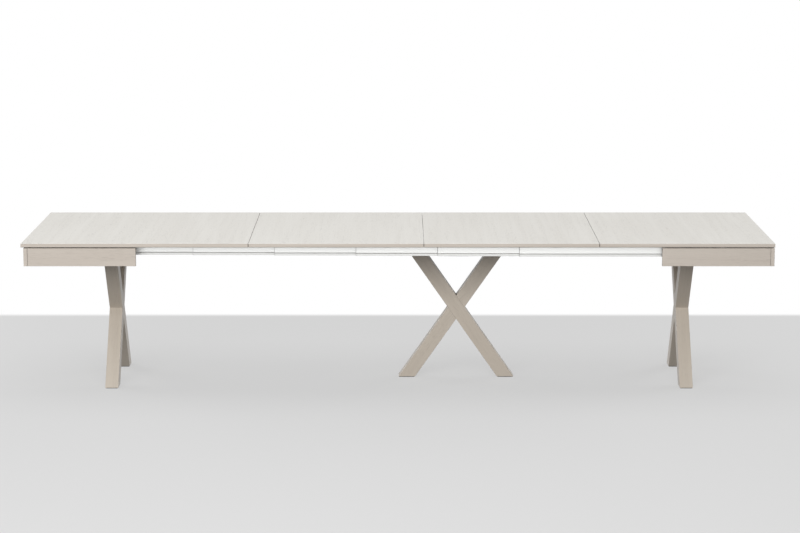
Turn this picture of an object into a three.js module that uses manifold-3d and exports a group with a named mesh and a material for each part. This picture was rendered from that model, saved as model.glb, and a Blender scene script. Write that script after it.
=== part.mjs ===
// Extendable table, shown fully open, in millimetres.
// X runs along the table, -Y is its front long side and +Z is up.
// The origin is on the floor under the middle of the open top.
// A fixed left half and a sliding right half are joined by telescopic guides.
// Three loose leaves lie on the guides, and a centre leg travels with them.

import * as THREE from "three";
import { mergeVertices } from "three/addons/utils/BufferGeometryUtils.js";
import Module from "manifold-3d";

const wasm = await Module();
wasm.setup();

// Table top
const topHeight = 765;
const topDepth = 1000;
const panelThickness = 18;
const mainPanelLength = 1100;
const leafLength = 848.5;
const leafCount = 3;
const seam = 1.5;

// Frame halves
const apronThickness = 18;
const apronHeight = 88;
const apronSetback = 5;
const endBoardThickness = 19;
const shadowGap = 5;
const leftOverhang = 12;
const rightOverhang = 1;
const closedGap = 1;
const crossMemberWidth = 90;
const earClearance = 8;
const cornerBlockLeg = 42;
const cornerBlockTip = 8;

// Telescopic guides
const elementCount = 6;
const elementLength = 1000;
const elementThickness = 10.1;
const elementHeight = 53;
const elementStroke = 391;
const elementStagger = 6.6;
const firstElementClearance = 7;
const outerElementSetback = 50;
const fixedGuideLap = 310;
const fixedGuideShoulder = 2;

// Grooves, ribs and hollow of a guide element
const grooveMouth = 4.4;
const grooveHead = 8;
const grooveLip = 1.6;
const grooveDepth = 5.2;
const lowerGrooveHeight = 12.3;
const upperGrooveDrop = 5.5;
const chamberWall = 2.2;
const chamberBottom = 20;
const chamberTop = 39;

// Crossed legs
const legSpread = 251.8;
const crossingHeight = 361.3;
const armWidth = 69;
const armThickness = 65;
const legSetback = 155;
const footArris = 1.2;
const glideThickness = 2.5;
const glideInset = 3;
const plateThickness = 5;
const plateLength = 130;
const plateWidth = 76;

// Carrier of the centre leg
const carrierElement = 4;
const beamHeight = 26;
const beamLength = 580;
const beamWall = 3;
const beamCorner = 4;
const crossbarThickness = 4;
const crossbarWidth = 100;
const crossbarTipSetback = 1.5;
const crossbarTaper = 20;
const crossbarTipThickness = 1.5;
const underGuideClearance = 1;
const notchSideClearance = 12;
const notchTopClearance = 6;
const passingClearance = 3;

// Small pieces under the top
const battenThickness = 4;
const battenWidth = 34;
const battenSetback = 8;
const battenEndMargin = 36;
const panelPackerLength = 600;
const panelPackerWidth = 40;
const guidePackerHeight = 36;
const guidePackerEndMargin = 24;

// Fits and edges
const seat = 0.3;
const slideGap = 0.3;
const lapClearance = 0.3;
const boardArris = 1;
const metalArris = 0.5;
const overrun = 5;
const weldTolerance = 0.001;

// Heights
const panelBottom = topHeight - panelThickness;
const frameTop = panelBottom - shadowGap;
const frameBottom = frameTop - apronHeight;
const guideTop = panelBottom - seat;
const guideBottom = guideTop - elementHeight;
const crossbarTop = guideBottom - underGuideClearance;
const crossbarBottom = crossbarTop - crossbarThickness;
const beamTop = crossbarBottom - seat;
const beamBottom = beamTop - beamHeight;
const plateTop = frameBottom - seat;
const plateBottom = plateTop - plateThickness;
const armBottom = glideThickness + seat;
const endLegTop = plateBottom - seat;
const centreLegTop = beamBottom - seat;

// Places along the table
const leafPitch = leafLength + seam;
const extension = leafCount * leafPitch;
const topLength = mainPanelLength + extension;
const topLeft = -topLength / 2;
const topRight = topLength / 2;
const halfLength = (mainPanelLength - leftOverhang - rightOverhang - closedGap) / 2;
const leftOuter = topLeft + leftOverhang;
const leftInner = leftOuter + halfLength;
const rightOuter = topRight - rightOverhang;
const rightInner = rightOuter - halfLength;
const leftEndFace = leftOuter + endBoardThickness;
const rightEndFace = rightOuter - endBoardThickness;
const leftLegX = leftInner - legSetback;
const rightLegX = rightInner + legSetback;
const closedCentreLegX = (leftLegX + rightLegX - extension) / 2;
const centreLegX = closedCentreLegX + carrierElement * elementStroke;

// Places across the table
const apronOuter = topDepth / 2 - apronSetback;
const apronInner = apronOuter - apronThickness;
const elementPitch = elementThickness + slideGap;
const fixedLeftOuter = topDepth / 2 - outerElementSetback - elementCount * elementPitch;
const fixedLeftInner = fixedLeftOuter - elementThickness;
const fixedRightOuter = fixedLeftOuter + (elementCount + 1) * elementPitch;
const carrierOuter = fixedLeftOuter + carrierElement * elementPitch;
const carrierInner = carrierOuter - elementThickness;

// Slope and level thickness of a leg arm
const armSlope = legSpread / crossingHeight;
const armHalfLevel = (armWidth / 2) * Math.hypot(1, armSlope);

// Finishes
const topFinish = new THREE.MeshStandardMaterial({ color: 0xd8d4cc, roughness: 0.55, metalness: 0 });
const frameFinish = new THREE.MeshStandardMaterial({ color: 0xc2b7ab, roughness: 0.6, metalness: 0 });
const legFinish = new THREE.MeshStandardMaterial({ color: 0xb8ada0, roughness: 0.6, metalness: 0 });
const innerWoodFinish = new THREE.MeshStandardMaterial({ color: 0xc9b79c, roughness: 0.7, metalness: 0 });
const guideFinish = new THREE.MeshStandardMaterial({ color: 0xdfe0e0, roughness: 0.38, metalness: 0.75 });
const steelFinish = new THREE.MeshStandardMaterial({ color: 0x8f9194, roughness: 0.45, metalness: 0.9 });
const glideFinish = new THREE.MeshStandardMaterial({ color: 0x3a3937, roughness: 0.7, metalness: 0 });

// Turns that lay an outline in a plane and its depth along the named axis
const outlineTurn = {
  x: new THREE.Matrix4().makeBasis(
    new THREE.Vector3(0, 1, 0), new THREE.Vector3(0, 0, 1), new THREE.Vector3(1, 0, 0)),
  y: new THREE.Matrix4().makeBasis(
    new THREE.Vector3(1, 0, 0), new THREE.Vector3(0, 0, 1), new THREE.Vector3(0, -1, 0)),
  z: new THREE.Matrix4(),
};

// An outline becomes a bar between two places on an axis, with a small arris round both ends
function bar(axis, outline, from, to, arris = 0, holes = []) {
  const corners = outline.map(([a, b]) => new THREE.Vector2(a, b));
  if (THREE.ShapeUtils.isClockWise(corners)) corners.reverse();
  const shape = new THREE.Shape(corners);
  for (const hole of holes) {
    shape.holes.push(new THREE.Path(hole.map(([a, b]) => new THREE.Vector2(a, b))));
  }
  const geometry = new THREE.ExtrudeGeometry(shape, {
    depth: to - from - 2 * arris,
    bevelEnabled: arris > 0,
    bevelThickness: arris,
    bevelSize: arris,
    bevelOffset: -arris,
    bevelSegments: 2,
    curveSegments: 1,
  });
  geometry.applyMatrix4(outlineTurn[axis]);
  if (axis === "x") geometry.translate(from + arris, 0, 0);
  if (axis === "y") geometry.translate(0, to - arris, 0);
  if (axis === "z") geometry.translate(0, 0, from + arris);
  return geometry;
}

// A rectangle with its four corners cut off
function cutRectangle(a0, b0, a1, b1, cut) {
  return [
    [a0 + cut, b0], [a1 - cut, b0], [a1, b0 + cut], [a1, b1 - cut],
    [a1 - cut, b1], [a0 + cut, b1], [a0, b1 - cut], [a0, b0 + cut],
  ];
}

// A flat board with all its edges eased
function board(x0, x1, y0, y1, z0, z1, arris = boardArris) {
  return bar("z", cutRectangle(x0, y0, x1, y1, arris), z0, z1, arris);
}

// A geometry becomes a solid for joining and cutting, and back
function solidOf(geometry) {
  const bare = geometry.clone();
  bare.deleteAttribute("normal");
  bare.deleteAttribute("uv");
  const merged = mergeVertices(bare, weldTolerance);
  return new wasm.Manifold(new wasm.Mesh({
    numProp: 3,
    vertProperties: merged.attributes.position.array,
    triVerts: Uint32Array.from(merged.index.array),
  }));
}

function geometryOf(solid) {
  const { vertProperties, triVerts } = solid.getMesh();
  const geometry = new THREE.BufferGeometry();
  geometry.setAttribute("position", new THREE.BufferAttribute(vertProperties, 3));
  geometry.setIndex(new THREE.BufferAttribute(triVerts, 1));
  geometry.computeVertexNormals();
  return geometry;
}

const table = new THREE.Group();

function place(name, geometry, finish) {
  const mesh = new THREE.Mesh(geometry, finish);
  mesh.name = name;
  table.add(mesh);
}

// The front and rear sides, as names and as signs of Y
const sides = [
  { side: "front", sign: -1 },
  { side: "rear", sign: 1 },
];

// Puts two distances from the long middle line in rising order on one side
function spanOn(sign, inner, outer) {
  return sign > 0 ? [inner, outer] : [-outer, -inner];
}

// Top: one fixed main panel and the loose leaves, with a fine seam between neighbours
function mainPanel() {
  return board(topLeft, topLeft + mainPanelLength, -topDepth / 2, topDepth / 2, panelBottom, topHeight);
}

function leafPanel(index) {
  const left = topLeft + mainPanelLength + seam + index * leafPitch;
  return board(left, left + leafLength, -topDepth / 2, topDepth / 2, panelBottom, topHeight);
}

// A flat bar under each side of a leaf keeps it straight and between the guides
function leafBatten(index, sign) {
  const left = topLeft + mainPanelLength + seam + index * leafPitch;
  const outer = fixedLeftInner - battenSetback;
  const [y0, y1] = spanOn(sign, outer - battenWidth, outer);
  const top = panelBottom - seat;
  return board(left + battenEndMargin, left + leafLength - battenEndMargin,
    y0, y1, top - battenThickness, top, metalArris);
}

// Frame boards: an end board that covers the ends of two aprons
function endBoard(outer, inner) {
  return board(Math.min(outer, inner), Math.max(outer, inner),
    -apronOuter, apronOuter, frameBottom, frameTop);
}

function apron(sign, from, to) {
  const [y0, y1] = spanOn(sign, apronInner, apronOuter);
  return board(from, to, y0, y1, frameBottom, frameTop);
}

// A three-sided block glued in the corner below the guides
function cornerBlock(endFace, inward, sign) {
  const x = (distance) => endFace + inward * (seat + distance);
  const y = (distance) => sign * (apronInner - seat - distance);
  const outline = [
    [x(0), y(0)],
    [x(cornerBlockLeg), y(0)],
    [x(cornerBlockLeg), y(cornerBlockTip)],
    [x(cornerBlockTip), y(cornerBlockLeg)],
    [x(0), y(cornerBlockLeg)],
  ];
  return bar("z", outline, frameBottom, crossbarTop, metalArris);
}

// The member across a half, low under the guides, high between them, and open in the
// middle for the beam of the centre leg
function crossMember(legX, coreHalf) {
  const notchHalf = armThickness / 2 + notchSideClearance;
  const notchTop = beamTop + notchTopClearance;
  const earTop = guideBottom - earClearance;
  const half = [
    [notchHalf, notchTop],
    [notchHalf, frameBottom],
    [apronInner - seat, frameBottom],
    [apronInner - seat, earTop],
    [coreHalf, earTop],
    [coreHalf, frameTop],
  ];
  const mirrored = half.map(([y, z]) => [-y, z]).reverse();
  return bar("x", [...half, ...mirrored], legX - crossMemberWidth / 2, legX + crossMemberWidth / 2);
}

// Section of a guide element: grooves in its outer face take the ribs of the next element
// out, its own ribs on the inner face run in the next element in, and a hollow lightens it
function guideOutline(sign, outerFace, hasRibs, hasGrooves) {
  const y = (inwards) => sign * (outerFace - inwards);
  const levels = [guideBottom + lowerGrooveHeight, guideTop - upperGrooveDrop];
  const points = [[y(0), guideBottom]];
  for (const level of hasGrooves ? levels : []) {
    points.push(
      [y(0), level - grooveMouth / 2],
      [y(grooveLip), level - grooveMouth / 2],
      [y(grooveLip), level - grooveHead / 2],
      [y(grooveDepth), level - grooveHead / 2],
      [y(grooveDepth), level + grooveHead / 2],
      [y(grooveLip), level + grooveHead / 2],
      [y(grooveLip), level + grooveMouth / 2],
      [y(0), level + grooveMouth / 2],
    );
  }
  points.push([y(0), guideTop], [y(elementThickness), guideTop]);
  const neckHalf = grooveMouth / 2 - slideGap;
  const headHalf = grooveHead / 2 - slideGap;
  const neckEnd = elementPitch + grooveLip + slideGap;
  const headEnd = elementPitch + grooveDepth - slideGap;
  for (const level of hasRibs ? [...levels].reverse() : []) {
    points.push(
      [y(elementThickness), level + neckHalf],
      [y(neckEnd), level + neckHalf],
      [y(neckEnd), level + headHalf],
      [y(headEnd), level + headHalf],
      [y(headEnd), level - headHalf],
      [y(neckEnd), level - headHalf],
      [y(neckEnd), level - neckHalf],
      [y(elementThickness), level - neckHalf],
    );
  }
  points.push([y(elementThickness), guideBottom]);
  return points;
}

function guideElement(sign, outerFace, from, to, { ribs = true, grooves = true } = {}) {
  const near = outerFace - chamberWall;
  const far = outerFace - elementThickness + chamberWall;
  const chamber = [
    [sign * near, guideBottom + chamberBottom],
    [sign * near, guideBottom + chamberTop],
    [sign * far, guideBottom + chamberTop],
    [sign * far, guideBottom + chamberBottom],
  ];
  return bar("x", guideOutline(sign, outerFace, ribs, grooves), from, to, 0, [chamber]);
}

// Outline of a leaning leg arm, widened by a clearance where it cuts its partner
function armOutline(middle, lean, bottom, top, clearance = 0, cut = 0) {
  const centre = (z) => middle + lean * (z - crossingHeight) * armSlope;
  const reach = armHalfLevel + clearance;
  const slopeCut = cut * armSlope * lean;
  return [
    [centre(bottom) - reach + cut, bottom],
    [centre(bottom) + reach - cut, bottom],
    [centre(bottom) + reach + slopeCut, bottom + cut],
    [centre(top) + reach, top],
    [centre(top) - reach, top],
    [centre(bottom) - reach + slopeCut, bottom + cut],
  ];
}

// One arm of a crossed leg, halved where its partner passes through it.
// Lean +1 rises towards plus; keep is the sign of the half that stays whole at the lap.
function legArm(axis, planeAt, middle, lean, top, keep) {
  const half = armThickness / 2;
  const outline = armOutline(middle, lean, armBottom, top, 0, footArris);
  const arm = solidOf(bar(axis, outline, planeAt - half, planeAt + half, boardArris));
  const partner = armOutline(middle, -lean, armBottom - overrun, top + overrun, lapClearance);
  const lapFace = planeAt + (keep * lapClearance) / 2;
  const openFace = planeAt - keep * (half + overrun);
  const notch = solidOf(bar(axis, partner, Math.min(lapFace, openFace), Math.max(lapFace, openFace)));
  return geometryOf(arm.subtract(notch));
}

// A pad under a foot, a little smaller than the foot
function legGlide(x, y, halfX, halfY) {
  const reachX = halfX - glideInset;
  const reachY = halfY - glideInset;
  return bar("z", cutRectangle(x - reachX, y - reachY, x + reachX, y + reachY, glideInset),
    0, glideThickness, metalArris);
}

const footOffset = (crossingHeight - armBottom) * armSlope;
const endLegTopOffset = (endLegTop - crossingHeight) * armSlope;

// An end leg stands across the table, under the cross member of its half
function placeEndLeg(half, legX) {
  for (const { side, sign } of sides) {
    place(`${half}_leg_${side}_foot_arm`,
      legArm("x", legX, 0, -sign, endLegTop, sign), legFinish);
    place(`${half}_leg_${side}_glide`,
      legGlide(legX, sign * footOffset, armThickness / 2, armHalfLevel), glideFinish);
    const plateY = sign * endLegTopOffset;
    place(`${half}_leg_${side}_plate`,
      board(legX - plateWidth / 2, legX + plateWidth / 2,
        plateY - plateLength / 2, plateY + plateLength / 2, plateBottom, plateTop, metalArris),
      steelFinish);
  }
}

// The centre leg stands along the table, under a beam and a crossbar on one guide pair
function placeCentreLeg() {
  const ends = [
    { end: "left", sign: -1 },
    { end: "right", sign: 1 },
  ];
  for (const { end, sign } of ends) {
    place(`centre_leg_${end}_foot_arm`,
      legArm("y", 0, centreLegX, -sign, centreLegTop, -sign), legFinish);
    place(`centre_leg_${end}_glide`,
      legGlide(centreLegX + sign * footOffset, 0, armHalfLevel, armThickness / 2), glideFinish);
  }
  place("centre_leg_beam", beam(), steelFinish);
  place("centre_leg_crossbar", crossbar(), steelFinish);
}

// A rectangular steel tube, as wide as the arms are thick, that holds both arm tops
function beam() {
  const half = armThickness / 2;
  const outline = cutRectangle(-half, beamBottom, half, beamTop, beamCorner);
  const hollow = cutRectangle(-half + beamWall, beamBottom + beamWall, half - beamWall, beamTop - beamWall,
    beamCorner - beamWall);
  return bar("x", outline, centreLegX - beamLength / 2, centreLegX + beamLength / 2, 0, [hollow]);
}

// A steel flat from one carrier element to the other, tapered below and padded up at its tips
function crossbar() {
  const tip = carrierOuter - crossbarTipSetback;
  const half = [
    [tip - crossbarTaper, crossbarBottom],
    [tip, crossbarTop - crossbarTipThickness],
    [tip, guideBottom - seat],
    [carrierInner, guideBottom - seat],
    [carrierInner, crossbarTop],
  ];
  const mirrored = half.map(([y, z]) => [-y, z]).reverse();
  return bar("x", [...half, ...mirrored], centreLegX - crossbarWidth / 2, centreLegX + crossbarWidth / 2);
}

// Left half, which stays still and carries the main panel
place("main_top_panel", mainPanel(), topFinish);
place("main_panel_packer",
  board(leftLegX - panelPackerWidth / 2, leftLegX + panelPackerWidth / 2,
    -panelPackerLength / 2, panelPackerLength / 2, frameTop + seat, guideTop, metalArris),
  innerWoodFinish);
place("left_end_board", endBoard(leftOuter, leftEndFace), frameFinish);
place("left_cross_member", crossMember(leftLegX, fixedLeftInner - seat), innerWoodFinish);
placeEndLeg("left", leftLegX);

// Right half, which slides under the main panel when the table closes
place("right_end_board", endBoard(rightOuter, rightEndFace), frameFinish);
place("right_cross_member",
  crossMember(rightLegX, fixedLeftInner - passingClearance), innerWoodFinish);
placeEndLeg("right", rightLegX);

const firstElementClosed = leftEndFace + firstElementClearance;

for (const { side, sign } of sides) {
  place(`left_${side}_apron`, apron(sign, leftEndFace + seat, leftInner), frameFinish);
  place(`left_${side}_corner_block`, cornerBlock(leftEndFace, 1, sign), innerWoodFinish);
  place(`left_${side}_fixed_guide`,
    guideElement(sign, fixedLeftOuter, leftEndFace + seat,
      firstElementClosed + elementStroke + fixedGuideLap, { ribs: false }),
    guideFinish);
  place(`right_${side}_apron`, apron(sign, rightInner, rightEndFace - seat), frameFinish);
  place(`right_${side}_corner_block`, cornerBlock(rightEndFace, -1, sign), innerWoodFinish);
  place(`right_${side}_fixed_guide`,
    guideElement(sign, fixedRightOuter, rightInner + fixedGuideShoulder, rightEndFace - seat,
      { grooves: false }),
    guideFinish);

  // A packer fills the space between the outer fixed guide and the apron
  const [packerY0, packerY1] = spanOn(sign, fixedRightOuter + seat, apronInner - seat);
  const packerMiddle = (guideTop + guideBottom) / 2;
  place(`right_${side}_guide_packer`,
    board(rightInner + guidePackerEndMargin, rightEndFace - guidePackerEndMargin, packerY0, packerY1,
      packerMiddle - guidePackerHeight / 2, packerMiddle + guidePackerHeight / 2, metalArris),
    innerWoodFinish);

  // Moving elements, each drawn out one stroke further than the one inside it
  for (let number = 1; number <= elementCount; number += 1) {
    const from = firstElementClosed + (number - 1) * elementStagger + number * elementStroke;
    place(`${side}_guide_element_${number}`,
      guideElement(sign, fixedLeftOuter + number * elementPitch, from, from + elementLength),
      guideFinish);
  }
}

placeCentreLeg();

// Loose leaves
for (let index = 0; index < leafCount; index += 1) {
  place(`leaf_${index + 1}_panel`, leafPanel(index), topFinish);
  for (const { side, sign } of sides) {
    place(`leaf_${index + 1}_${side}_batten`, leafBatten(index, sign), steelFinish);
  }
}

export default table;
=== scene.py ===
import math

import bmesh
import bpy
from mathutils import Matrix, Vector


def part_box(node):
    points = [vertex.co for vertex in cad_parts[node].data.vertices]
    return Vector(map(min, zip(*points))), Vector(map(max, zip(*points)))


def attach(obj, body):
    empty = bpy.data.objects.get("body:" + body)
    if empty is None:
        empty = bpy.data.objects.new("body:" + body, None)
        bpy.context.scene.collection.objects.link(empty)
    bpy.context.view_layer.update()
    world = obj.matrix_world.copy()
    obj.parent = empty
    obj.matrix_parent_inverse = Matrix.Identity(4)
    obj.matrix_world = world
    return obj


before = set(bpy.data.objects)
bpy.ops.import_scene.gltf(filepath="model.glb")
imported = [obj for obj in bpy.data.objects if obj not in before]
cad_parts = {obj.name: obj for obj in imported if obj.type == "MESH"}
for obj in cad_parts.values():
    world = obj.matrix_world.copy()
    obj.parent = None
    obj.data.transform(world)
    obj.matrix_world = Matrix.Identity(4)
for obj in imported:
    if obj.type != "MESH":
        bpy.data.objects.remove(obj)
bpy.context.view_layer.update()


# Stage: a plain pale floor that fades to white and ends in a line behind the table, soft light
# from large lamps in front, overhead and behind, and the photograph's view from the front and
# above. The floor throws back less light than it shows, so the shade under the top is deep.
def both_ways(operation):
    """A Python operator and its reflected form, each of which adds one Math node."""
    def forward(wire, other):
        return wire.wires.node("ShaderNodeMath", {"operation": operation}, {0: wire, 1: other})

    def reflected(wire, other):
        return wire.wires.node("ShaderNodeMath", {"operation": operation}, {0: other, 1: wire})

    return forward, reflected


class Wire:
    """One output of a node, so that sums and products of outputs read as Python. Another
    output of the same node is reached by its name, as in place["X"]."""

    def __init__(self, wires, socket):
        self.wires = wires
        self.socket = socket

    def __getitem__(self, name):
        return Wire(self.wires, self.socket.node.outputs[name])

    def __abs__(self):
        return self.wires.node("ShaderNodeMath", {"operation": "ABSOLUTE"}, {0: self})

    __add__, __radd__ = both_ways("ADD")
    __sub__, __rsub__ = both_ways("SUBTRACT")
    __mul__, __rmul__ = both_ways("MULTIPLY")
    __pow__, __rpow__ = both_ways("POWER")
    __mod__, __rmod__ = both_ways("FLOORED_MODULO")


class Wires:
    """Adds nodes to one material or world."""

    def __init__(self, tree):
        self.tree = tree

    def node(self, kind, settings=None, inputs=None, output=0):
        """A node of any kind: its settings first, then the values or links of its inputs."""
        made = self.tree.nodes.new(kind)
        for name, value in (settings or {}).items():
            setattr(made, name, value)
        for name, value in (inputs or {}).items():
            self.feed(made.inputs[name], value)
        return Wire(self, made.outputs[output])

    def feed(self, socket, value):
        """A link into a socket, or a plain value on it."""
        if isinstance(value, Wire):
            self.tree.links.new(value.socket, socket)
        else:
            socket.default_value = value

    def surface(self, looks):
        """Values or links for the material's own shader, by the names of its sockets."""
        for name, value in looks.items():
            self.feed(self.tree.nodes["Principled BSDF"].inputs[name], value)

    def place(self):
        """Where a point lies on the table at rest, in metres."""
        return self.node("ShaderNodeTexCoord", output="Object")

    def facing(self):
        """The direction that a face points in."""
        return self.node("ShaderNodeNewGeometry", output="True Normal")

    def axes(self, vector):
        """A vector taken apart into outputs named X, Y and Z."""
        return self.node("ShaderNodeSeparateXYZ", {}, {0: vector})

    def stretched(self, place, scale):
        return self.node("ShaderNodeMapping", {}, {"Vector": place, "Scale": scale})

    def rise(self, value, start, end):
        """A mask that is 0 at start and beyond it, 1 at end and beyond it, and even between."""
        return self.node("ShaderNodeMapRange", {},
                         {"Value": value, "From Min": start, "From Max": end})

    def mix(self, amount, first, second):
        """A blend of two colours."""
        return self.node("ShaderNodeMix", {"data_type": "RGBA"},
                         {0: amount, 6: first, 7: second}, output=2)

    def noise(self, place, scale=1.0, detail=2.0, roughness=0.5, distortion=0.0):
        return self.node("ShaderNodeTexNoise", {}, {
            "Vector": place, "Scale": scale, "Detail": detail,
            "Roughness": roughness, "Distortion": distortion})

    def bump(self, height, distance):
        """A normal raised by a height from 0 to 1 over a distance in metres."""
        return self.node("ShaderNodeBump", {}, {"Height": height, "Distance": distance})


def finish(name):
    """A new material, and the maker of its nodes."""
    material = bpy.data.materials.new(name)
    material.use_nodes = True
    return material, Wires(material.node_tree)


def srgb(red, green, blue):
    """A colour as a picture shows it, from 0 to 255, as the shader's linear one."""
    def linear(value):
        share = value / 255
        return share / 12.92 if share <= 0.04045 else ((share + 0.055) / 1.055) ** 2.4
    return (linear(red), linear(green), linear(blue), 1)


def circle(radius, steps):
    """Points round a circle, as (x, y) pairs."""
    return [(radius * math.cos(math.tau * step / steps), radius * math.sin(math.tau * step / steps))
            for step in range(steps)]


floor_reach = 90
grey_half_width = 2.7
grey_front = 3.0
grey_back = 1.53
side_fade = 2.2
back_fade = 0.10
grey_seen = srgb(171, 171, 171)
grey_bounce = srgb(60, 60, 60)
grey_veil = srgb(249, 249, 249)
shadow_softening = 0.52
floor_white_in_gloss = 0.8
white = (1, 1, 1, 1)

floor_mesh = bpy.data.meshes.new("floor")
rim = [(x, y, 0) for x, y in circle(floor_reach, 64)]
floor_mesh.from_pydata(rim, [], [list(range(len(rim)))])
floor = bpy.data.objects.new("floor", floor_mesh)
bpy.context.scene.collection.objects.link(floor)

floor_finish, wires = finish("floor")
floor_mesh.materials.append(floor_finish)
place = wires.axes(wires.place())
past_side = wires.rise(abs(place["X"]), grey_half_width, grey_half_width + side_fade)
past_front = wires.rise(place["Y"], -grey_front, -grey_front - side_fade)
past_back = wires.rise(place["Y"], grey_back, grey_back + back_fade)
far = wires.node("ShaderNodeMapRange", {"interpolation_type": "SMOOTHSTEP"},
                 {"Value": (past_side ** 2 + past_front ** 2 + past_back ** 2) ** 0.5})
seen = wires.node("ShaderNodeLightPath", output="Is Camera Ray")
wires.surface({"Base Color": wires.mix(seen, grey_bounce, grey_seen),
               "Roughness": 0.85, "Specular IOR Level": 0.1})
lit_floor = Wire(wires, floor_finish.node_tree.nodes["Principled BSDF"].outputs[0])
veil = wires.node("ShaderNodeEmission", {}, {"Color": grey_veil, "Strength": 1.0})
softened = wires.node("ShaderNodeMixShader", {}, {
    0: seen * shadow_softening, 1: lit_floor, 2: veil})
backdrop = wires.node("ShaderNodeEmission", {}, {"Color": white, "Strength": 1.0})
faded = wires.node("ShaderNodeMixShader", {}, {
    0: far * seen + floor_white_in_gloss * seen["Is Glossy Ray"], 1: softened, 2: backdrop})
wires.feed(floor_finish.node_tree.nodes["Material Output"].inputs["Surface"], faded)

sky_light = 0.40
sky_white_in_gloss = 0.7
world = bpy.data.worlds.new("studio")
world.use_nodes = True
bpy.context.scene.world = world
sky = world.node_tree.nodes["Background"]
wires = Wires(world.node_tree)
seen = wires.node("ShaderNodeLightPath", output="Is Camera Ray")
wires.feed(sky.inputs["Color"], white)
wires.feed(sky.inputs["Strength"],
           sky_light + (1 - sky_light) * (seen + sky_white_in_gloss * seen["Is Glossy Ray"]))


def soft_lamp(name, spot, target, size, power):
    lamp = bpy.data.lights.new(name, "AREA")
    lamp.shape = "RECTANGLE"
    lamp.size, lamp.size_y = size
    lamp.energy = power
    lamp_object = bpy.data.objects.new(name, lamp)
    lamp_object.location = spot
    aim = Vector(target) - Vector(spot)
    lamp_object.rotation_euler = aim.to_track_quat("-Z", "Y").to_euler()
    bpy.context.scene.collection.objects.link(lamp_object)


soft_lamp("front_lamp", spot=(-1.2, -7.1, 3.3), target=(0, 0, 0.6), size=(8.0, 4.4), power=497)
soft_lamp("overhead_lamp", spot=(0, 0.2, 4.6), target=(0, 0, 0.4), size=(7.0, 3.0), power=65)
for side, across in (("left", -1), ("right", 1)):
    soft_lamp(f"{side}_rear_lamp", spot=(across * 6.2, 3.4, 2.8), target=(0, 0, 0.5),
              size=(4.0, 2.4), power=130)

view_spot = (0.0102, -11.624, 2.629)
view_down = 10.069
camera = bpy.data.cameras.new("camera")
camera.lens = 105.0
camera.sensor_width = 36
camera.clip_end = 300
camera_object = bpy.data.objects.new("camera", camera)
camera_object.location = view_spot
camera_object.rotation_euler = (math.radians(90 - view_down), 0, 0)
bpy.context.scene.collection.objects.link(camera_object)
bpy.context.scene.camera = camera_object
bpy.context.scene.view_settings.view_transform = "Standard"


# Frame boards: aprons and end boards of coated board in a taupe open-pore wood finish, its
# grain along each board. They are glued and screwed at the corners, and a fine dark line of
# painted shade on the inner arris of the end board stands for the shade in the joint.
taupe = srgb(209, 200, 190)
taupe_dark = srgb(194, 184, 173)
joint_shade_brown = srgb(104, 97, 89)


def wood_finish(name, colour, dark, grain, turn=None, pore_depth=0.00012,
                roughness=0.56, sheen=0.28, over=None):
    """Fine straight-grained wood. grain names the axis along the grain, turn lays it askew,
    and over puts other colours over the wood where a piece has them."""
    material, wires = finish(name)
    place = wires.place()
    if turn:
        place = wires.node("ShaderNodeMapping", {}, {"Vector": place, "Rotation": turn})

    def drawn_out(along, over_grain, **looks):
        """Noise of one scale along the grain and another over it."""
        scale = [over_grain, over_grain, over_grain]
        scale["XYZ".index(grain)] = along
        return wires.noise(wires.stretched(place, scale), **looks)

    wide = drawn_out(0.7, 7, detail=3, distortion=0.4)
    bands = drawn_out(1.1, 38, detail=4, roughness=0.6, distortion=0.25)
    fibres = drawn_out(14, 620, detail=3, roughness=0.65)
    pore_field = drawn_out(26, 900, detail=1, roughness=0.4)
    pores = wires.rise(pore_field, 0.60, 0.68) * (0.25 + 0.75 * wires.rise(bands, 0.40, 0.62))
    tone = 0.55 * wires.rise(wide, 0.3, 0.7) + 0.45 * wires.rise(bands, 0.30, 0.70)
    wood = wires.mix(tone * 0.75, colour, dark)
    wood = wires.mix(wires.rise(fibres, 0.45, 0.75) * 0.30, wood, dark)
    pore_colour = tuple(0.55 * channel for channel in dark[:3]) + (1,)
    wood = wires.mix(pores * 0.38, wood, pore_colour)
    wires.surface({"Base Color": over(wires, wood) if over else wood,
                   "Roughness": roughness + 0.10 * fibres + 0.14 * pores,
                   "Normal": wires.bump(1.0 - 0.7 * pores - 0.3 * fibres, pore_depth),
                   "Specular IOR Level": sheen})
    return material


def joint_shade_line(wires, wood):
    """Painted shade: a dark line on the slanted inner arris of the end board's corners."""
    facing_x = wires.axes(wires.facing())["X"]
    inwards = wires.node("ShaderNodeMath", {"operation": "LESS_THAN"},
                         {0: facing_x * wires.axes(wires.place())["X"], 1: 0.0})
    slanted = wires.rise(abs(facing_x), 0.60, 0.66) * wires.rise(abs(facing_x), 0.84, 0.78)
    # The joint's shade is painted here as a darker colour on those arris faces.
    return wires.mix(inwards * slanted, wood, joint_shade_brown)


def dress(material, *names):
    for name in names:
        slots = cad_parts[name].data.materials
        slots.clear()
        slots.append(material)


apron_finish = wood_finish("apron_wood", taupe, taupe_dark, "X")
end_board_finish = wood_finish("end_board_wood", taupe, taupe_dark, "Y", over=joint_shade_line)
for half in ("left", "right"):
    dress(apron_finish, f"{half}_front_apron", f"{half}_rear_apron")
    dress(end_board_finish, f"{half}_end_board")


# Top: the main panel and three leaves, coated boards in a pale finish with the grain across
# the table, a taupe band round their edges with a painted shadow line along its lower edge,
# and a darker backing underneath. They lie on the guides, and their joints are fine seams
# with painted shade on their faces.
pale = srgb(221, 219, 214)
pale_dark = srgb(211, 208, 202)
seam_shade_brown = srgb(112, 104, 96)
edge_shadow_colour = srgb(138, 130, 122)
backing_colours = (srgb(204, 198, 190), srgb(197, 190, 181))
panel_bottom = 0.747
edge_shadow_height = 0.0024
seam_reach = 1.80


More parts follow.
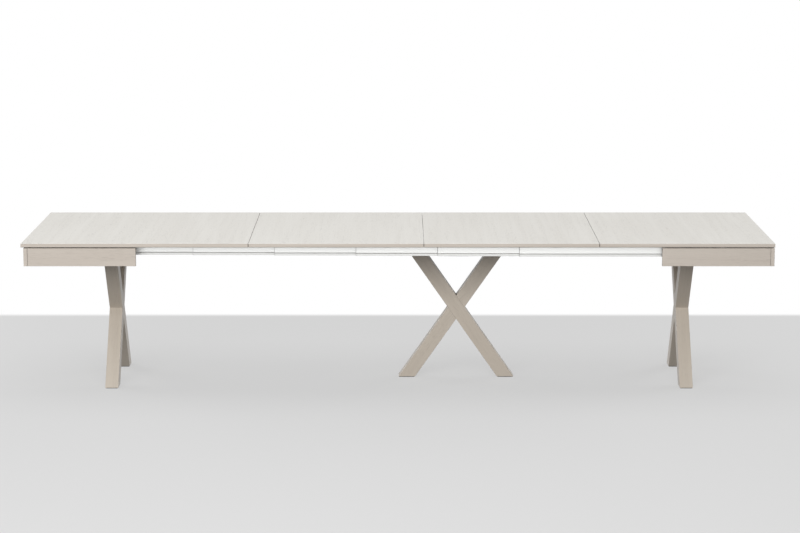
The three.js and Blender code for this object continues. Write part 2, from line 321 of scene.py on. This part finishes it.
def banded_edge(wires, wood):
    """The edge band, the backing, and the painted seam shade and edge shadow of a top panel."""
    place = wires.place()
    x, z = wires.axes(place)["X"], wires.axes(place)["Z"]
    facing = wires.axes(wires.facing())
    on_edge = wires.rise(abs(facing["Z"]), 0.60, 0.30)
    # Painted shade: faces at the seams take a dark brown where shade falls in the joints.
    in_seam_shade = (wires.rise(abs(facing["X"]), 0.50, 0.60)
               * wires.rise(abs(x), seam_reach + 0.01, seam_reach))
    # Painted shadow: the lowest few millimetres of the edge are darkened as the shade under the
    # panel.
    at_edge_shadow = wires.rise(z - panel_bottom, edge_shadow_height + 0.0002, edge_shadow_height)
    underneath = wires.rise(0.5 - 0.5 * facing["Z"], 0.90, 0.95)
    band_grain = wires.noise(wires.stretched(place, (1.4, 1.4, 260)),
                             detail=4, roughness=0.6, distortion=0.3)
    band = wires.mix(wires.rise(band_grain, 0.35, 0.68), taupe, taupe_dark)
    backing = wires.mix(wires.noise(place, 5, detail=3), *backing_colours)
    edge = wires.mix(at_edge_shadow, wires.mix(in_seam_shade, band, seam_shade_brown), edge_shadow_colour)
    return wires.mix(on_edge, wires.mix(underneath, wood, backing), edge)


top_finish = wood_finish("top_wood", pale, pale_dark, "Y", pore_depth=0.00008, over=banded_edge)
leaf_numbers = (1, 2, 3)
dress(top_finish, "main_top_panel", *(f"leaf_{number}_panel" for number in leaf_numbers))


# Crossed legs: straight arms in the same taupe wood finish with a satin lacquer, grain along
# each arm, halved together at the crossing. End legs lean across the table and are screwed
# to steel plates, the centre leg leans along it and is screwed to its beam.
leg_colour = srgb(203, 193, 180)
leg_dark = srgb(185, 174, 160)
arm_rise = 361.3
arm_run = 251.8
arm_lean = math.atan2(arm_run, arm_rise)


def dress_arm(name, turn):
    dress(wood_finish(name, leg_colour, leg_dark, "Z", turn=turn, roughness=0.30, sheen=0.5), name)


for half in ("left", "right"):
    dress_arm(f"{half}_leg_front_foot_arm", (arm_lean, 0, 0))
    dress_arm(f"{half}_leg_rear_foot_arm", (-arm_lean, 0, 0))
dress_arm("centre_leg_left_foot_arm", (0, -arm_lean, 0))
dress_arm("centre_leg_right_foot_arm", (0, arm_lean, 0))


# Glides: dark moulded plastic pads under the feet, finely grained, held by a hidden nail.
# They keep the end grain of the arms off the floor.
glide_colours = (srgb(66, 63, 59), srgb(52, 50, 47))
glide_finish, wires = finish("glide_plastic")
grain = wires.noise(wires.place(), 2600)
wires.surface({"Base Color": wires.mix(grain, *glide_colours),
               "Roughness": 0.55 + 0.2 * grain,
               "Normal": wires.bump(grain, 0.00005)})
leg_ends = {"left": ("front", "rear"), "right": ("front", "rear"), "centre": ("left", "right")}
for leg, ends in leg_ends.items():
    dress(glide_finish, *(f"{leg}_leg_{end}_glide" for end in ends))


# Inner wood: plywood and beech members, blocks and packers under the top, unfinished, with
# the plies showing on their edges. They are glued and screwed to the frame boards.
veneer_colours = (srgb(214, 190, 152), srgb(190, 160, 120))
ply_line = srgb(140, 108, 74)
ply_thickness = 0.0018


def plywood_finish(name, grain):
    material, wires = finish(name)
    place = wires.place()
    scale = [90, 90, 90]
    scale["XYZ".index(grain)] = 3
    fibres = wires.noise(wires.stretched(place, scale), detail=4, roughness=0.6, distortion=0.3)
    ply = wires.node("ShaderNodeMath", {"operation": "PINGPONG"},
                     {0: wires.axes(place)["Z"], 1: ply_thickness})
    upright = 1 - abs(wires.axes(wires.facing())["Z"])
    veneer = wires.mix(wires.rise(fibres, 0.3, 0.7), *veneer_colours)
    on_line = wires.rise(ply, 0.00078, 0.00107) * upright
    wires.surface({"Base Color": wires.mix(on_line * 0.45, veneer, ply_line),
                   "Roughness": 0.62 + 0.14 * fibres,
                   "Normal": wires.bump(fibres, 0.00015)})
    return material


across_plywood = plywood_finish("cross_member_plywood", "Y")
along_beech = plywood_finish("packer_beech", "X")
dress(across_plywood, "left_cross_member", "right_cross_member", "main_panel_packer")
for side in ("front", "rear"):
    dress(along_beech, f"right_{side}_guide_packer",
          f"left_{side}_corner_block", f"right_{side}_corner_block")


# Telescopic guides: satin anodised aluminium extrusions, faintly drawn along their length.
# Each runs in the grooves of the one inside it, whose insides are painted darker as shade and
# made rougher and less metallic, and the fixed ones are screwed to the frame halves.
outer_face = 0.4604
guide_pitch = 0.0104
guide_bottom = 0.6937
lip_height = 0.0081
groove_levels = (0.7060, 0.7412)
groove_head = 0.0080
anodised_colours = (srgb(231, 231, 229), srgb(225, 226, 224))
lip_shade_grey = srgb(205, 205, 203)
groove_shade_grey = srgb(182, 181, 178)

guide_finish, wires = finish("anodised_aluminium")
place = wires.place()
drawn = wires.noise(wires.stretched(place, (1.5, 800, 800)))
cloud = wires.noise(place, 5, detail=3)
outward, height = abs(wires.axes(place)["Y"]), wires.axes(place)["Z"]
depth = (outer_face - outward) % guide_pitch
inside_groove = wires.rise(depth, 0.0002, 0.0008) * wires.rise(depth, 0.0056, 0.0053)
at_groove = sum(wires.rise(abs(height - level), groove_head / 2 + 0.0003, groove_head / 2 + 0.0001)
                for level in groove_levels)
# Painted shade: the groove insides take a darker grey where shade falls in them.
groove_shade = at_groove * inside_groove
# Painted shade: the lowest band of each element is darkened as shade along its bottom edge.
at_lip_shade = wires.rise(height - guide_bottom, lip_height + 0.0003, lip_height - 0.0003)
metal = wires.mix(at_lip_shade, wires.mix(0.3 * drawn + 0.7 * cloud, *anodised_colours), lip_shade_grey)
wires.surface({"Base Color": wires.mix(groove_shade, metal, groove_shade_grey),
               "Metallic": 0.85 - 0.50 * groove_shade,
               "Roughness": 0.33 + 0.04 * drawn + 0.05 * cloud + 0.15 * groove_shade,
               "Normal": wires.bump(drawn, 0.0000012)})

element_numbers = (1, 2, 3, 4, 5, 6)
guide_nodes = [f"{side}_guide_element_{number}"
               for side in ("front", "rear") for number in element_numbers]
guide_nodes += [f"{half}_{side}_fixed_guide"
                for half in ("left", "right") for side in ("front", "rear")]
dress(guide_finish, *guide_nodes)


def ease_edges(piece, width, segments=2):
    """Small rounds on the edges of a solid that has none of its own."""
    weld = piece.modifiers.new("weld", "WELD")
    weld.merge_threshold = 0.00001
    bevel = piece.modifiers.new("ease", "BEVEL")
    bevel.width = width
    bevel.segments = segments
    bevel.limit_method = "ANGLE"
    bevel.angle_limit = math.radians(40)


for name in guide_nodes:
    ease_edges(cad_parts[name], 0.0002, segments=1)
for half in ("left", "right"):
    ease_edges(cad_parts[f"{half}_cross_member"], 0.001)


# Steel: powder-coated flats, plates and the beam that carries the centre leg, with the fine
# orange-peel skin of the coat. All are screwed through drilled holes.
steel_colours = (srgb(150, 151, 152), srgb(138, 139, 141))
steel_finish, wires = finish("powder_coated_steel")
place = wires.place()
peel = wires.noise(place, 700)
wires.surface({"Base Color": wires.mix(wires.noise(place, 14, detail=3), *steel_colours),
               "Roughness": 0.42 + 0.12 * peel,
               "Normal": wires.bump(peel, 0.00006),
               "Metallic": 0.15})
dress(steel_finish, "centre_leg_beam", "centre_leg_crossbar")
for side in ("front", "rear"):
    dress(steel_finish, *(f"{half}_leg_{side}_plate" for half in ("left", "right")))
    dress(steel_finish, *(f"leaf_{number}_{side}_batten" for number in leaf_numbers))


# Guide plugs: grey moulded caps pressed on the free ends of the guide elements, cut to the
# same section, so that the ribs of the next element still pass.
plug_thickness = 0.0018
element_thickness = 0.0101
guide_top = 0.7467
groove_depth = 0.0052
groove_mouth = 0.0044
groove_lip = 0.0016
slide_gap = 0.0003
plug_colours = (srgb(186, 186, 184), srgb(174, 174, 173))

plug_finish, wires = finish("guide_plug_plastic")
moulded = wires.noise(wires.place(), 1800)
wires.surface({"Base Color": wires.mix(moulded, *plug_colours),
               "Roughness": 0.48 + 0.18 * moulded,
               "Normal": wires.bump(moulded, 0.00004)})


def guide_section(sign, outer, ribs, grooves):
    """Corners of an element's section on one side of the table, as (y, z) pairs. outer is
    the distance of its outer face from the middle."""
    corners = []

    def corner(inwards, level):
        corners.append((sign * (outer - inwards), level))

    corner(0, guide_bottom)
    groove_path = ((0, groove_mouth / 2), (groove_lip, groove_mouth / 2),
                   (groove_lip, groove_head / 2), (groove_depth, groove_head / 2))
    for level in groove_levels if grooves else ():
        for inwards, half_height in groove_path:
            corner(inwards, level - half_height)
        for inwards, half_height in reversed(groove_path):
            corner(inwards, level + half_height)
    corner(0, guide_top)
    corner(element_thickness, guide_top)
    neck = groove_mouth / 2 - slide_gap
    head = groove_head / 2 - slide_gap
    neck_end = guide_pitch + groove_lip + slide_gap
    head_end = guide_pitch + groove_depth - slide_gap
    rib_path = ((element_thickness, neck), (neck_end, neck), (neck_end, head), (head_end, head))
    for level in reversed(groove_levels) if ribs else ():
        for inwards, half_height in rib_path:
            corner(inwards, level + half_height)
        for inwards, half_height in reversed(rib_path):
            corner(inwards, level - half_height)
    corner(element_thickness, guide_bottom)
    return corners


def add_slice(mesh, outline, start, end):
    """A slice of a (y, z) outline between two places along X."""
    first = [mesh.verts.new((start, y, z)) for y, z in outline]
    last = [mesh.verts.new((end, y, z)) for y, z in outline]
    mesh.faces.new(first)
    mesh.faces.new(list(reversed(last)))
    for at in range(len(outline)):
        after = (at + 1) % len(outline)
        mesh.faces.new((first[after], first[at], last[at], last[after]))


def piece_of(mesh, name, body, material):
    """A finished mesh becomes a named piece that rides on a body."""
    bmesh.ops.recalc_face_normals(mesh, faces=mesh.faces)
    data = bpy.data.meshes.new(name)
    mesh.to_mesh(data)
    mesh.free()
    data.materials.append(material)
    piece = bpy.data.objects.new(name, data)
    bpy.context.scene.collection.objects.link(piece)
    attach(piece, body)
    return piece


guide_ends = {f"guide_stage_{number}": (f"{{}}_guide_element_{number}", True, True, (-1, 1))
              for number in element_numbers}
guide_ends["left_half"] = ("left_{}_fixed_guide", False, True, (1,))
guide_ends["right_half"] = ("right_{}_fixed_guide", True, False, (-1,))
for body, (guide_name, ribs, grooves, free_ends) in guide_ends.items():
    plugs = bmesh.new()
    for side, sign in (("front", -1), ("rear", 1)):
        low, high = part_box(guide_name.format(side))
        section = guide_section(sign, max(abs(low[1]), abs(high[1])), ribs, grooves)
        for end in free_ends:
            start = high[0] if end > 0 else low[0] - plug_thickness
            add_slice(plugs, section, start, start + plug_thickness)
    piece_of(plugs, f"{body}_guide_plugs", body, plug_finish)


# Beam caps: black moulded plugs pushed into the ends of the tube that carries the centre
# leg. Each has a flange over the tube's end and a body that grips inside it.
centre_leg_x = 0.2945
beam_half_length = 0.290
beam_half_width = 0.0325
beam_bottom = 0.6624
beam_top = 0.6884
beam_wall = 0.003
cap_flange = 0.0025
cap_depth = 0.018
cap_air = 0.0002


def beam_outline(inset, cut):
    """The beam's section as (y, z) pairs, drawn in by an inset and with its corners cut."""
    side, low, high = beam_half_width - inset, beam_bottom + inset, beam_top - inset
    return [(-side + cut, low), (side - cut, low), (side, low + cut), (side, high - cut),
            (side - cut, high), (-side + cut, high), (-side, high - cut), (-side, low + cut)]


caps = bmesh.new()
for end in (-1, 1):
    tube_end = centre_leg_x + end * beam_half_length
    add_slice(caps, beam_outline(0, 0.004), *sorted((tube_end, tube_end + end * cap_flange)))
    add_slice(caps, beam_outline(beam_wall + cap_air, 0.001),
              *sorted((tube_end, tube_end - end * cap_depth)))
cap_piece = piece_of(caps, "centre_leg_beam_caps", "guide_stage_4", glide_finish)
ease_edges(cap_piece, 0.0006)


# Screws: zinc-plated button heads with a hex socket, each on a thin washer. They hold the
# leg plates, the corner blocks and the centre leg's steelwork.
zinc_colours = (srgb(206, 208, 208), srgb(184, 187, 190))
screw_finish, wires = finish("zinc_plated_steel")
plating = wires.noise(wires.place(), 420, detail=3)
wires.surface({"Base Color": wires.mix(plating, *zinc_colours),
               "Roughness": 0.26 + 0.16 * plating,
               "Normal": wires.bump(plating, 0.00003),
               "Metallic": 1.0})


def add_screw(mesh, spot, direction, turn, profile, recess, recess_depth, segments):
    """One screw head that stands out of a surface along a direction. profile holds (radius,
    height) steps from the surface up, and recess the outline of the driver's socket."""
    facing = Vector(direction).to_track_quat("Z", "Y").to_matrix().to_4x4()
    at = Matrix.Translation(spot) @ facing @ Matrix.Rotation(turn, 4, "Z")

    def ring(outline, rise):
        return [mesh.verts.new(at @ Vector((x, y, rise))) for x, y in outline]

    rings = [ring(circle(radius, segments), rise) for radius, rise in profile]
    for lower, upper in zip(rings, rings[1:]):
        for step in range(segments):
            after = (step + 1) % segments
            skin = mesh.faces.new((lower[step], lower[after], upper[after], upper[step]))
            skin.smooth = True
    mesh.faces.new(list(reversed(rings[0])))
    top = profile[-1][1]
    mouth = ring(recess, top)
    bottom = ring(recess, top - recess_depth)
    mesh.faces.new(bottom)
    for step in range(len(recess)):
        after = (step + 1) % len(recess)
        mesh.faces.new((mouth[step], mouth[after], bottom[after], bottom[step]))
    crown = [mesh.edges.get((loop[step], loop[(step + 1) % len(loop)]))
             for loop in (rings[-1], mouth) for step in range(len(loop))]
    bmesh.ops.triangle_fill(mesh, edges=crown, use_beauty=True)


socket_flats = 0.0030
button_head = {
    "profile": ((0.0068, -0.0003), (0.0068, 0.0007), (0.0065, 0.0009), (0.0049, 0.0009),
                (0.0049, 0.0013), (0.0047, 0.0023), (0.0041, 0.0031), (0.0033, 0.0035)),
    "recess": circle(socket_flats / 2 / math.cos(math.radians(30)), 6),
    "recess_depth": 0.0018,
    "segments": 28}

leg_places = {"left": -1.425, "right": 1.436}
plate_bottom = 0.6487
plate_centre = 0.2001
plate_screw_reach = 0.056
plate_screw_side = 0.026
for half, leg_x in leg_places.items():
    screws = bmesh.new()
    for side in (-1, 1):
        for along in (-1, 1):
            for across in (-1, 1):
                spot = (leg_x + across * plate_screw_side,
                        side * plate_centre + along * plate_screw_reach, plate_bottom)
                add_screw(screws, spot, (0, 0, -1), spot[0] * 90 + along, **button_head)
    piece_of(screws, f"{half}_leg_plate_screws", f"{half}_half", screw_finish)

beam_screw_reach = 0.2097
beam_screw_side = 0.016
crossbar_top = 0.6927
crossbar_screw_reach = 0.034
crossbar_screw_side = 0.018
screws = bmesh.new()
for end in (-1, 1):
    for across in (-1, 1):
        on_beam = (centre_leg_x + end * beam_screw_reach, across * beam_screw_side, beam_top)
        add_screw(screws, on_beam, (0, 0, 1), across, **button_head)
        on_bar = (centre_leg_x + end * crossbar_screw_reach,
                  across * crossbar_screw_side, crossbar_top)
        add_screw(screws, on_bar, (0, 0, 1), end, **button_head)
piece_of(screws, "centre_leg_beam_screws", "guide_stage_4", screw_finish)

seat_gap = 0.0003
block_middle = 0.025
block_heights = (0.6640, 0.6820)
apron_inner = 0.477
frame_corners = {"left": (-1.794, 1), "right": (1.805, -1)}
for half, (end_face, inward) in frame_corners.items():
    screws = bmesh.new()
    for side in (-1, 1):
        for height in block_heights:
            spot = (end_face + inward * (seat_gap + block_middle),
                    side * (apron_inner - seat_gap - block_middle), height)
            add_screw(screws, spot, (inward, -side, 0), height * 50, **button_head)
    piece_of(screws, f"{half}_corner_block_screws", f"{half}_half", screw_finish)


# Countersunk screws: cross-recessed heads in the steel flats under the leaves and in the
# tips of the crossbar, zinc-plated too, nearly flush with the metal round them.
def cross_recess(reach, half_width):
    quarter = [(reach, -half_width), (reach, half_width), (half_width, half_width)]
    outline = []
    for _ in range(4):
        outline += quarter
        quarter = [(-y, x) for x, y in quarter]
    return outline


sunk_head = {
    "profile": ((0.0034, -0.0010), (0.0037, 0.0), (0.0037, 0.00012), (0.0035, 0.00022)),
    "recess": cross_recess(0.0021, 0.00045),
    "recess_depth": 0.0009,
    "segments": 24}

batten_bottom = 0.7427
batten_middle = 0.3525
batten_margin = 0.03
batten_zigzag = 0.007
batten_screws = 5
for number in leaf_numbers:
    low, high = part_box(f"leaf_{number}_front_batten")
    screws = bmesh.new()
    for side in (-1, 1):
        for at in range(batten_screws):
            share = at / (batten_screws - 1)
            along = low[0] + batten_margin + share * (high[0] - low[0] - 2 * batten_margin)
            across = side * batten_middle + (batten_zigzag if at % 2 else -batten_zigzag)
            add_screw(screws, (along, across, batten_bottom), (0, 0, -1),
                      at * 1.3 + side, **sunk_head)
    piece_of(screws, f"leaf_{number}_batten_screws", f"leaf_{number}", screw_finish)

tip_places = (-0.040, -0.014, 0.014, 0.040)
tip_reach = 0.4225
tip_height = 0.69055
tip_slope = 0.125
screws = bmesh.new()
for side in (-1, 1):
    for along in tip_places:
        spot = (centre_leg_x + along, side * tip_reach, tip_height)
        add_screw(screws, spot, (0, side * tip_slope, -1), along * 40, **sunk_head)
piece_of(screws, "centre_leg_crossbar_screws", "guide_stage_4", screw_finish)
